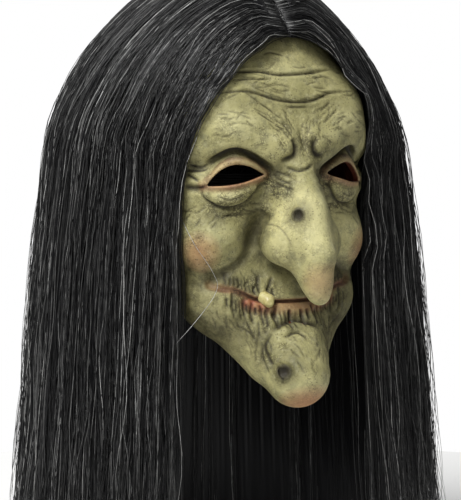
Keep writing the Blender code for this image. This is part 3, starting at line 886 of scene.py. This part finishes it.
def paint_masks(points, mirror, out, crease_shade):
    """Where each paint goes on the outer face. Mirror has the points folded onto one half."""
    # Painted shade: darker where the face's own hollows close in round a point, and in the listed spots
    near = 1 - detailed_face(points + 5 * out) / 5
    far = 1 - detailed_face(points + 11 * out) / 11
    shade = 0.8 * near + 0.6 * far - 0.15
    for centre, radii, strength in PAINTED_SHADE_SPOTS:
        shade = np.maximum(shade, 0) + strength * 0.8 * ball(mirror, centre, radii)
    shade = np.clip(shade, 0, 0.92)
    fold, mouth, crease, upper, lower, lower_lip = (
        smooth_tube(mirror, path, 0.0)
        for path in (NASOLABIAL, MOUTH, LID_CREASE, UPPER_LID, LOWER_LID, LOWER_LIP)
    )
    # Painted shade along the fold, the lid crease and the mouth line
    crease_shade = np.max([crease_shade, 0.9 * glow(fold, 2.4), 0.9 * glow(crease, 1.8), glow(mouth, 1.2)], axis=0)
    rim = glow(np.minimum(upper, lower), 2.6) * 0.95
    lip = np.maximum(glow(lower_lip, 3.6), 0.5 * glow(mouth, 2.2))
    blush = strongest(mirror, CHEEK_BLUSH)
    blush = np.maximum(blush, strongest(points, NOSE_AND_CHIN_BLUSH))
    wart = np.zeros(len(points))
    for place, facing, radius in WARTS:
        pit = np.asarray(place, float) + 0.3 * radius * np.asarray(facing, float)
        wart = np.maximum(wart, 0.97 * ball(points, pit, 0.88 * radius, 0.5))
        # painted shade in a ring round each wart
        shade = np.maximum(shade, 0.7 * ball(points, pit, 2.0 * radius))
    # painted highlights on the raised parts, and the places where fine cracks show most
    worn, painted_highlight = strongest(mirror, WORN, 0.7), strongest(mirror, PAINTED_HIGHLIGHTS)
    return crease_shade, blush, rim, lip, wart, shade, worn, painted_highlight


def make_face():
    points, quads = sparse_net(skin, FACE_LOW, FACE_HIGH, FACE_CELL)
    points = points - gradient(points, skin) * np.clip(0.8 * skin(points), -0.5, 0.5)[:, None]
    level = detailed_face(points)
    out = gradient(points, detailed_face)
    depth, crease_shade = wrinkle_depths(points)
    outer = np.clip((level + 0.5 * LATEX_WALL) / (0.3 * LATEX_WALL), 0, 1)
    points = points - out * (depth * outer)[:, None]
    mirror = points * 1.0
    mirror[:, 0] = np.abs(mirror[:, 0])
    masks = [mask * outer for mask in paint_masks(points, mirror, out, crease_shade)]
    # inner marks the inside of the skin, which gets the painted dark shade
    attributes = dict(zip(PAINTED, [*masks, 1 - outer], strict=True))
    face = mesh_object("latex_face_skin", points, quads, latex_paint(), attributes)
    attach(face, "root")
    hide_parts("latex_face")


make_face()


# --- The tooth --------------------------------------------------------------


TOOTH_CELL = 0.5


def tooth_paint():
    """Cream plastic with small brown stains."""
    n = Nodes("tooth")
    colour = n.mix(n.ramp(n.noise(300, 3), 0.35, 0.65), srgb(204, 196, 138), srgb(178, 164, 104))
    colour = n.mix(n.ramp(n.noise(900, 3, 0.7), 0.58, 0.72, 0, 0.6), colour, srgb(110, 92, 52))
    n.set(Base_Color=colour, Roughness=n.ramp(n.noise(700, 2), 0.3, 0.7, 0.28, 0.42))
    n.set(Normal=n.bump(n.noise(700, 3), 0.3, 0.0005))
    return n.material


def tooth_form(p):
    """A blunt, slightly twisted peg with a worn end and a dimple."""
    d = capsule(p, (-18.8, -74.5, -201.0), (-18.2, -79.5, -203.6), 4.0, 3.2)
    d = join(d, ellipsoid(p, (-16.8, -77.5, -201.5), (3.4, 3.6, 2.8)), 2)
    return carve(d, ellipsoid(p, (-19.4, -83.6, -203.0), (2.4, 1.6, 1.8)), 1.2)


def make_tooth():
    low, high = (-27, -86, -210), (-10, -68, -193)
    points, quads = sparse_net(tooth_form, low, high, TOOTH_CELL)
    for _ in range(2):
        points = points - gradient(points, tooth_form, 0.2) * (0.8 * tooth_form(points))[:, None]
    tooth = mesh_object("tooth_peg", points, quads, tooth_paint())
    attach(tooth, "root")
    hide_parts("tooth")


make_tooth()

# --- Finishes of the CAD parts that stay ------------------------------------


def net_paint():
    """Black stretch net: a small diamond mesh with raised threads."""
    n = Nodes("cap_net")
    place = n.add("ShaderNodeMapping", {"Vector": n.place, "Rotation": (0, 0.785, 0.785)}).outputs[0]
    weave = n.maths("MAXIMUM", n.bands(150.0, 0.6, place), n.bands(150.0, 0.6, place, "Z"))
    n.set(
        Base_Color=n.mix(weave, (0.004, 0.004, 0.004), (0.030, 0.030, 0.032)),
        Roughness=n.ramp(weave, 0, 1, 0.9, 0.6),
        Normal=n.bump(weave, 0.8, 0.0008),
    )
    return n.material


def tape_paint(name, dark, pale, rib):
    """Woven black tape: ribs across a weave, a little worn. Dark and pale are shades of grey."""
    n = Nodes(name)
    ribs = n.bands(rib, 0.4, direction="Z")
    weave = n.maths("MULTIPLY", ribs, n.ramp(n.noise(1400, 2), 0.3, 0.7, 0.6, 1.0))
    n.set(
        Base_Color=n.mix(weave, (dark,) * 3, (pale,) * 3),
        Roughness=n.ramp(n.noise(500, 2), 0.3, 0.7, 0.75, 0.92),
        Normal=n.bump(weave, 0.7, 0.0006),
    )
    return n.material


def brass_paint():
    """Brass that has dulled in patches."""
    n = Nodes("rivet_brass")
    wear = n.ramp(n.noise(500, 4, 0.7), 0.4, 0.65)
    n.set(
        Base_Color=n.mix(wear, (0.62, 0.42, 0.16), (0.34, 0.22, 0.09)),
        Metallic=1.0,
        Roughness=n.ramp(n.noise(900, 3), 0.3, 0.7, 0.26, 0.48),
        Normal=n.bump(n.noise(1500, 2), 0.2, 0.0002),
    )
    return n.material


def finish_nodes(material, *names):
    for name in names:
        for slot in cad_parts[name].material_slots:
            slot.material = material


finish_nodes(net_paint(), "wig_cap")
TRACKS = [f"weft_track_{place}" for place in ("nape", "lower", "middle", "upper", "crown")]
finish_nodes(tape_paint("weft_tape", 0.010, 0.05, 260.0), *TRACKS, "parting_strip")
finish_nodes(tape_paint("elastic_weave", 0.012, 0.075, 180.0), "head_elastic")
finish_nodes(brass_paint(), "elastic_rivet_right", "elastic_rivet_left")


# --- Where the hair lies ----------------------------------------------------

# These repeat the CAD hair's form: a quarter turn from the parting to a ring round the head, then
# straight down. The semi-axes are to the side, to the front and to the back.
HAIR_INNER = 8.0
SKIN_TO_HAIR = 3.2
PARTING = (-66.0, 52.0)
PARTING_HALF_WIDTH = 5.0
PARTING_DEPTH = 7.0
RING_Z = -118.0
TIP_Z = -415.0
TIP_FRONT_Z = -392.0
INNER_SEMI = (88.5, 88.0, 100.5)
OUTER_SEMI = (121.0, 96.0, 118.0)
HAIR_FRONT_DEG = 46.5
INNER_FLARE = 0.10
OUTER_FLARE = 0.19
FRONT_DEPTH = 7.0
FRONT_DEPTH_SHARE = 0.22
FRONT_LENGTH_SHARE = 0.4
LEFT_FULLNESS = 1.35
# Each lock and its share of the way from the front edge of the hair to the back of the head.
LOCKS = (("front", 0.0, 0.17), ("side", 0.17, 0.55), ("back", 0.55, 1.0))
TABLE_T, TABLE_S = 56, 64


def plan_point(semi, azimuth):
    """X and Y on an oval round the head, whose front and back halves have their own depths."""
    depth = np.where(np.cos(azimuth) > 0, semi[1], semi[2])
    return semi[0] * np.sin(azimuth), HEAD_CENTRE[1] - depth * np.cos(azimuth)


def fall_lines(t, s, outer):
    """Where hair would fall over nothing. t runs from the front edge to the back, s from parting to tip."""
    azimuth = np.radians(HAIR_FRONT_DEG + t * (180 - HAIR_FRONT_DEG))
    turn = np.radians(180 * np.minimum(s, 0.5))
    qx, qy = plan_point(INNER_SEMI, azimuth)
    if outer:
        ox, oy = plan_point(OUTER_SEMI, azimuth)
        front = np.clip(1 - t / FRONT_DEPTH_SHARE, 0, None)
        reach = np.hypot(ox - qx, oy - qy)
        depth = (reach + (FRONT_DEPTH - reach) * front * front) * np.sin(turn) ** 3
        qx, qy = qx + (ox - qx) * depth / reach, qy + (oy - qy) * depth / reach
    py = PARTING[0] + t * (PARTING[1] - PARTING[0])
    grown = HEAD_RADII + HAIR_INNER
    crown = np.sqrt(1 - ((py - HEAD_CENTRE[1]) / grown[1]) ** 2)
    pz = HEAD_CENTRE[2] + grown[2] * crown + PARTING_DEPTH * outer
    px = PARTING_HALF_WIDTH + 1.0
    fall = np.clip(2 * s - 1, 0, None)
    flare = 1 + fall * (OUTER_FLARE if outer else INNER_FLARE)
    tip = TIP_FRONT_Z + (TIP_Z - TIP_FRONT_Z) * np.minimum(1, t / FRONT_LENGTH_SHARE)
    scalp = np.stack([
        px + (qx - px) * np.sin(turn),
        py + (qy - py) * np.sin(turn),
        RING_Z + (pz - RING_Z) * np.cos(turn),
    ], -1)
    hanging = np.stack([
        qx * flare,
        HEAD_CENTRE[1] + (qy - HEAD_CENTRE[1]) * flare,
        RING_Z + (tip - RING_Z) * fall,
    ], -1)
    return np.where((s <= 0.5)[..., None], scalp, hanging)


def hair_table():
    """The inner and outer faces of the hair's left half, clear of the head form and of the face."""
    t, s = np.meshgrid(np.linspace(0, 1, TABLE_T), np.linspace(0, 1, TABLE_S), indexing="ij")
    inner, outer = fall_lines(t, s, 0), fall_lines(t, s, 1)
    size = np.linalg.norm((inner - HEAD_CENTRE) / (HEAD_RADII + HAIR_INNER), axis=-1, keepdims=True)
    lifted = HEAD_CENTRE + (inner - HEAD_CENTRE) / np.minimum(1, size)
    out = (lifted - HEAD_CENTRE) * (1, 1, 0)
    out /= np.linalg.norm(out, axis=-1, keepdims=True)
    for _ in range(6):
        lifted = lifted + out * np.clip(SKIN_TO_HAIR - witch_face(lifted), 0, None)[..., None]
    return np.stack([lifted, outer + lifted - inner], 2)


HAIR = hair_table()


def hair_point(t, s, w, side):
    """Points in the hair's thickness: w is 0 on its inner face and 1 on its outer face."""
    u = np.asarray(t) * (TABLE_T - 1)
    v = np.clip(s, 0, 1.03) * (TABLE_S - 1)
    i = np.clip(u.astype(int), 0, TABLE_T - 2)
    j = np.clip(v.astype(int), 0, TABLE_S - 2)
    fu, fv = (u - i)[..., None], (v - j)[..., None]
    low = HAIR[i, j] * (1 - fu[..., None]) + HAIR[i + 1, j] * fu[..., None]
    high = HAIR[i, j + 1] * (1 - fu[..., None]) + HAIR[i + 1, j + 1] * fu[..., None]
    both = low * (1 - fv[..., None]) + high * fv[..., None]
    w = np.asarray(w)[..., None] * (LEFT_FULLNESS if side > 0 else 1.0)
    return (both[..., 0, :] * (1 - w) + both[..., 1, :] * w) * (side, 1, 1)


# --- Strands ----------------------------------------------------------------

# How many strands and clumps one half of the hair has, and how much denser the front lock is.
STRANDS_PER_UNIT = 3500
CLUMPS_PER_UNIT = 170
FRONT_DENSITY = 1.3
STRAND_POINTS = 36
STRAND_RADIUS = 0.22
STRAND_SIDES_DEG = (90, 210, 330)
# The share of strands that stand clear of the clumps.
FREE_SHARE = 0.2
# How far strands stray from the middle of their clump, round the head and in the hair's thickness.
CLUMP_SPREAD, FREE_SPREAD, DEPTH_SPREAD = 0.0065, 0.02, 0.09
# Slow waves shared by a clump, and quick ones of each strand: how wide they are and how many.
SWAY, SWAY_WAVES = 0.008, 0.8
SWELL, SWELL_WAVES = 0.07, 1.4
FRIZZ, FRIZZ_WAVES = 0.0024, 3.4
CRIMP, CRIMP_WAVES = 0.0014, 7.5
LIFT_WAVES = 4.3
# The part of their length in which strands are drawn in at the parting.
ROOT_REACH = 0.045
# The part of the length that the dark body of a lock covers, and how far its front edge is set back.
MASS_START, MASS_LENGTH = 0.012, 0.945
MASS_SETBACK = 0.03
# How full the hair is along its length: it lies closer to the head above the widest part.
FULL_AT = ((0, 0.14, 0.28, 0.40, 0.50, 0.62), (1.0, 0.92, 0.80, 0.78, 0.88, 1.0))
# How far strands at the front edge lean forward, along their length.
FRINGE = ((0, 0.12, 0.3, 0.6), (0.05, 0.095, 0.085, 0.0))


def hair_paint(name, dark, pale):
    """Synthetic hair: black and grey strands, each with its own tone; the palest tones and the way a tone
    comes and goes a little along a strand are painted glints.
    """
    n = Nodes(name)
    tone = n.attribute("tone")
    # painted glints: the tone rises and falls along each strand
    glint_stretch = n.ramp(n.noise(260, 2), 0.3, 0.7, 0.55, 1.2)
    n.set(
        Base_Color=n.mix(n.maths("MULTIPLY", tone, glint_stretch), dark, pale),
        Roughness=n.ramp(n.noise(900, 2), 0.3, 0.7, 0.30, 0.46),
        Specular_IOR_Level=0.26,
        Normal=n.bump(n.noise(2600, 2), 0.25, 0.0002),
    )
    return n.material


def strand_mesh(name, paths, radii, tones, material):
    """Thin three-sided tubes along many paths at once, closed at both ends."""
    count, rings = paths.shape[:2]
    along = np.gradient(paths, axis=1)
    along /= np.linalg.norm(along, axis=2, keepdims=True) + 1e-9
    away = paths - HEAD_CENTRE
    across = np.cross(along, away)
    across /= np.linalg.norm(across, axis=2, keepdims=True) + 1e-9
    up = np.cross(across, along)
    turns = np.radians(STRAND_SIDES_DEG)
    circle = across[:, :, None] * np.cos(turns)[:, None] + up[:, :, None] * np.sin(turns)[:, None]
    points = paths[:, :, None] + circle * radii[:, :, None, None]
    first = (np.arange(count) * rings * 3)[:, None, None]
    ring = (np.arange(rings - 1) * 3)[None, :, None]
    a = first + ring + np.arange(3)
    b = first + ring + (np.arange(3) + 1) % 3
    walls = [np.stack(wall, -1).reshape(-1, 3) for wall in ((a, b, b + 3), (a, b + 3, a + 3))]
    ends = np.concatenate([first[:, 0] + (2, 1, 0), first[:, 0] + (rings - 1) * 3 + (0, 1, 2)])
    tone = np.repeat(tones[:, :, None], 3, axis=2).reshape(-1)
    return mesh_object(name, points.reshape(-1, 3), np.concatenate([*walls, ends]), material, {"tone": tone})


def strand_paths(rng, first, last, side, count, clumps):
    """Clumped, slightly wavy paths from the parting to the tips, for strands whose roots are in one lock."""
    s = np.linspace(0.0, 1.0, STRAND_POINTS)
    centre_t = first + (last - first) * (np.arange(clumps) + rng.uniform(0.1, 0.9, clumps)) / clumps
    centre_w = 0.04 + 0.98 * rng.uniform(0, 1, clumps) ** (0.9 if first == 0 else 0.55)
    wander = rng.uniform(-1, 1, (clumps, 4))
    pick = rng.integers(0, clumps, count)
    free = rng.uniform(0, 1, count) < FREE_SHARE
    gather = 1 - 0.5 * s**1.6
    offset_t = np.where(
        free, rng.uniform(-FREE_SPREAD, FREE_SPREAD, count), rng.normal(0, CLUMP_SPREAD, count)
    )
    offset_w = rng.normal(0, DEPTH_SPREAD, count)
    phase = rng.uniform(0, 2 * np.pi, (count, 2))
    c = wander[pick]
    sway = SWAY * c[:, :1] * np.sin(2 * np.pi * (SWAY_WAVES + 0.3 * c[:, 1:2]) * s + 3 * c[:, 2:3])
    frizz = FRIZZ * np.sin(2 * np.pi * (FRIZZ_WAVES + c[:, :1]) * s + phase[:, :1])
    frizz += CRIMP * np.sin(2 * np.pi * (CRIMP_WAVES + 1.5 * c[:, 1:2]) * s + phase[:, 1:])
    frizz *= np.where(free, 2.2, 1.0)[:, None]
    t = centre_t[pick][:, None] + offset_t[:, None] * gather + (sway + frizz) * np.minimum(1, 3 * s)
    swell = SWELL * c[:, 3:] * np.sin(2 * np.pi * SWELL_WAVES * s + c[:, 1:2] * 3)
    root_w = np.where(free, rng.uniform(0.75, 1.10, count), centre_w[pick] + offset_w)
    w = root_w[:, None] + swell * np.minimum(1, 3 * s)
    length = 1.0 - 0.07 * rng.uniform(0, 1, (count, 1)) ** 2 - 0.05 * np.abs(c[:, 2:3])
    if first == 0:
        t = t - np.interp(s, *FRINGE) * np.clip(1 - t / 0.08, 0, 1)
    w += np.where(free, 0.06, 0.02)[:, None] * np.sin(2 * np.pi * LIFT_WAVES * s + phase[:, 1:])
    w = np.clip(w, 0.04, np.where(free, 1.15, 1.04)[:, None]) * np.interp(s, *FULL_AT)
    paths = hair_point(np.minimum(t, 1.004), s * length, w, side)
    root = glow(s, ROOT_REACH)
    paths[..., 0] -= side * (PARTING_HALF_WIDTH + 0.6) * root
    paths[..., 2] -= PARTING_DEPTH * np.clip(w - 0.15, 0, None) * root
    return paths


def clear_of_skin(paths, gap=1.2):
    """Pushes strands out of the face where they cross its edge."""
    flat = paths.reshape(-1, 3)
    for _ in range(3):
        level = witch_face(flat)
        close = np.where(level < gap)[0]
        flat[close] += gradient(flat[close], witch_face) * (gap - level[close])[:, None]
    return flat.reshape(paths.shape)


def strand_tones_and_glints(rng, count):
    """From black, 0, to pale grey, 1. Most strands are black and some grey; the palest strands and the way
    each tone comes and goes a little along a strand are painted glints.
    """
    kind = rng.uniform(0, 1, count)
    tone = np.where(kind < 0.70, rng.uniform(0, 0.09, count), rng.uniform(0.10, 0.36, count))
    tone = np.where(kind > 0.90, rng.uniform(0.45, 0.95, count), tone)
    # painted glints: each strand's tone comes and goes along its length
    rate, phase = rng.uniform(6, 30, (count, 1)), rng.uniform(0, 6.28, (count, 1))
    glint_wave = np.sin(np.linspace(0, 1, STRAND_POINTS) * rate + phase)
    return np.clip(tone[:, None] * (0.68 + 0.42 * glint_wave), 0, 1)


def strand_radii(rng, count):
    """Each strand has its own thickness, and tapers at its tip."""
    s = np.linspace(0, 1, STRAND_POINTS)
    taper = np.where(s > 0.85, 1 - 0.7 * (s - 0.85) / 0.15, 1.0)
    return STRAND_RADIUS * rng.uniform(0.75, 1.15, (count, 1)) * taper


def hair_mass(name, first, last, side, material):
    """The dark body of a lock below its loose strands: a closed slab with combed ridges."""
    columns, rows = max(12, round(150 * (last - first))), 60
    u, v = np.meshgrid(np.linspace(0, 1, columns + 1), np.linspace(0, 1, rows + 1), indexing="ij")
    first_t = first + MASS_SETBACK * (first == 0)
    t, s = first_t + (last - first_t) * u, MASS_START + MASS_LENGTH * v
    comb = 0.10 * np.sin(2 * np.pi * t * 62 + 1.5 * np.sin(7 * s))
    comb = comb + 0.05 * np.sin(2 * np.pi * t * 151 + 4 * s)
    ragged = 0.010 * np.sin(61 * t) + 0.008 * np.sin(143 * t + 1) + 0.006 * np.sin(331 * t + 2)
    s = s + ragged * v**4
    edge = np.minimum(1, 12 * np.minimum(u if first == 0 else 1, 1 if last == 1 else 1 - u + 0.05))
    thin = 1 - 0.94 * v**5
    full = np.interp(s, *FULL_AT)
    inner = hair_point(t, s, (0.30 + (0.4 * comb - 0.14) * edge * thin) * full, side)
    outer = hair_point(t, s, (0.33 + (0.24 + comb) * edge * thin) * full, side)
    points = np.concatenate([inner.reshape(-1, 3), outer.reshape(-1, 3)])
    index = np.arange(2 * (columns + 1) * (rows + 1)).reshape(2, columns + 1, rows + 1)
    quads = []
    for layer, flip in ((0, side < 0), (1, side > 0)):
        a = index[layer]
        quad = np.stack([a[:-1, :-1], a[1:, :-1], a[1:, 1:], a[:-1, 1:]], -1).reshape(-1, 4)
        quads.append(quad[:, ::-1] if flip else quad)
    for a, b, flip in (
        (index[0, 0], index[1, 0], side < 0),
        (index[0, -1], index[1, -1], side > 0),
        (index[0, :, 0], index[1, :, 0], side > 0),
        (index[0, :, -1], index[1, :, -1], side < 0),
    ):
        quad = np.stack([a[:-1], a[1:], b[1:], b[:-1]], -1)
        quads.append(quad[:, ::-1] if flip else quad)
    return mesh_object(name, points, np.concatenate(quads), material, {"tone": np.zeros(len(points))})


HAIR_BLACK = (0.006, 0.006, 0.007)
# The pale grey is for the palest strands, which are painted glints.
HAIR_PAINT = hair_paint("hair", HAIR_BLACK, (0.66, 0.66, 0.64))
MASS_PAINT = hair_paint("hair_underneath", HAIR_BLACK, (0.1, 0.1, 0.1))


def make_lock(kind, first, last, side, side_name):
    """One lock on one side: two layers of strands over a dark body. It bends where it leaves the head."""
    seed = 11 + 10 * [k for k, _, _ in LOCKS].index(kind) + (side > 0)
    rng = np.random.default_rng(seed)
    count = round(STRANDS_PER_UNIT * (last - first) * (FRONT_DENSITY if kind == "front" else 1.0))
    clumps = round(CLUMPS_PER_UNIT * (last - first))
    paths = strand_paths(rng, first, last, side, count, clumps)
    if kind == "front":
        paths = clear_of_skin(paths)
    radii, tones = strand_radii(rng, count), strand_tones_and_glints(rng, count)
    half = count // 2
    under, over = (
        strand_mesh(f"strands_{layer}_{kind}_{side_name}", paths[part], radii[part], tones[part], HAIR_PAINT)
        for layer, part in (("under", slice(0, half)), ("over", slice(half, count)))
    )
    mass = hair_mass(f"hair_mass_{kind}_{side_name}", first, last, side, MASS_PAINT)
    for piece in (under, over, mass):
        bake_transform(piece)
    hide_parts(f"hair_scalp_{kind}_{side_name}")
    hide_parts(f"hair_{kind}_{side_name}")


for side, side_name in ((-1, "right"), (1, "left")):
    for kind, first, last in LOCKS:
        make_lock(kind, first, last, side, side_name)


STRAY_POINTS = 60
STRAY_RADIUS = 0.17
STRAY_TONE = 0.9
CHEEK_HAIR = (
    (-66, -52, -150),
    (-64, -66, -166),
    (-53, -70, -184),
    (-50, -69, -196),
    (-62, -62, -216),
    (-80, -50, -240),
)
CURL_START, CURL_END = (-116, 8, -215), (-128, 16, -290)
CURL_CENTRE, CURL_SIZE = (-122, 14, -252), (9, 7, 9)


def curl_point(angle):
    x, y, z = CURL_CENTRE
    dx, dy, dz = CURL_SIZE
    return x - dx * math.sin(angle), y - dy * math.cos(angle), z - dz * math.cos(angle)


def evenly_spaced(path, count):
    fine = smooth_path(path, 8)
    along = np.concatenate([[0], np.cumsum(np.linalg.norm(np.diff(fine, axis=0), axis=1))])
    places = np.linspace(0, along[-1], count)
    return np.stack([np.interp(places, along, fine[:, n]) for n in range(3)], 1)


def make_strays():
    """Two loose hairs: one across the near cheek, and a curl that stands off the side."""
    curl = (CURL_START, *(curl_point(angle) for angle in np.linspace(0.4, 6.6, 14)), CURL_END)
    paths = np.array([evenly_spaced(path, STRAY_POINTS) for path in (CHEEK_HAIR, curl)])
    radii, tones = (np.full(paths.shape[:2], value) for value in (STRAY_RADIUS, STRAY_TONE))
    stray = strand_mesh("stray_hairs", paths, radii, tones, HAIR_PAINT)
    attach(stray, "hair_right")


make_strays()
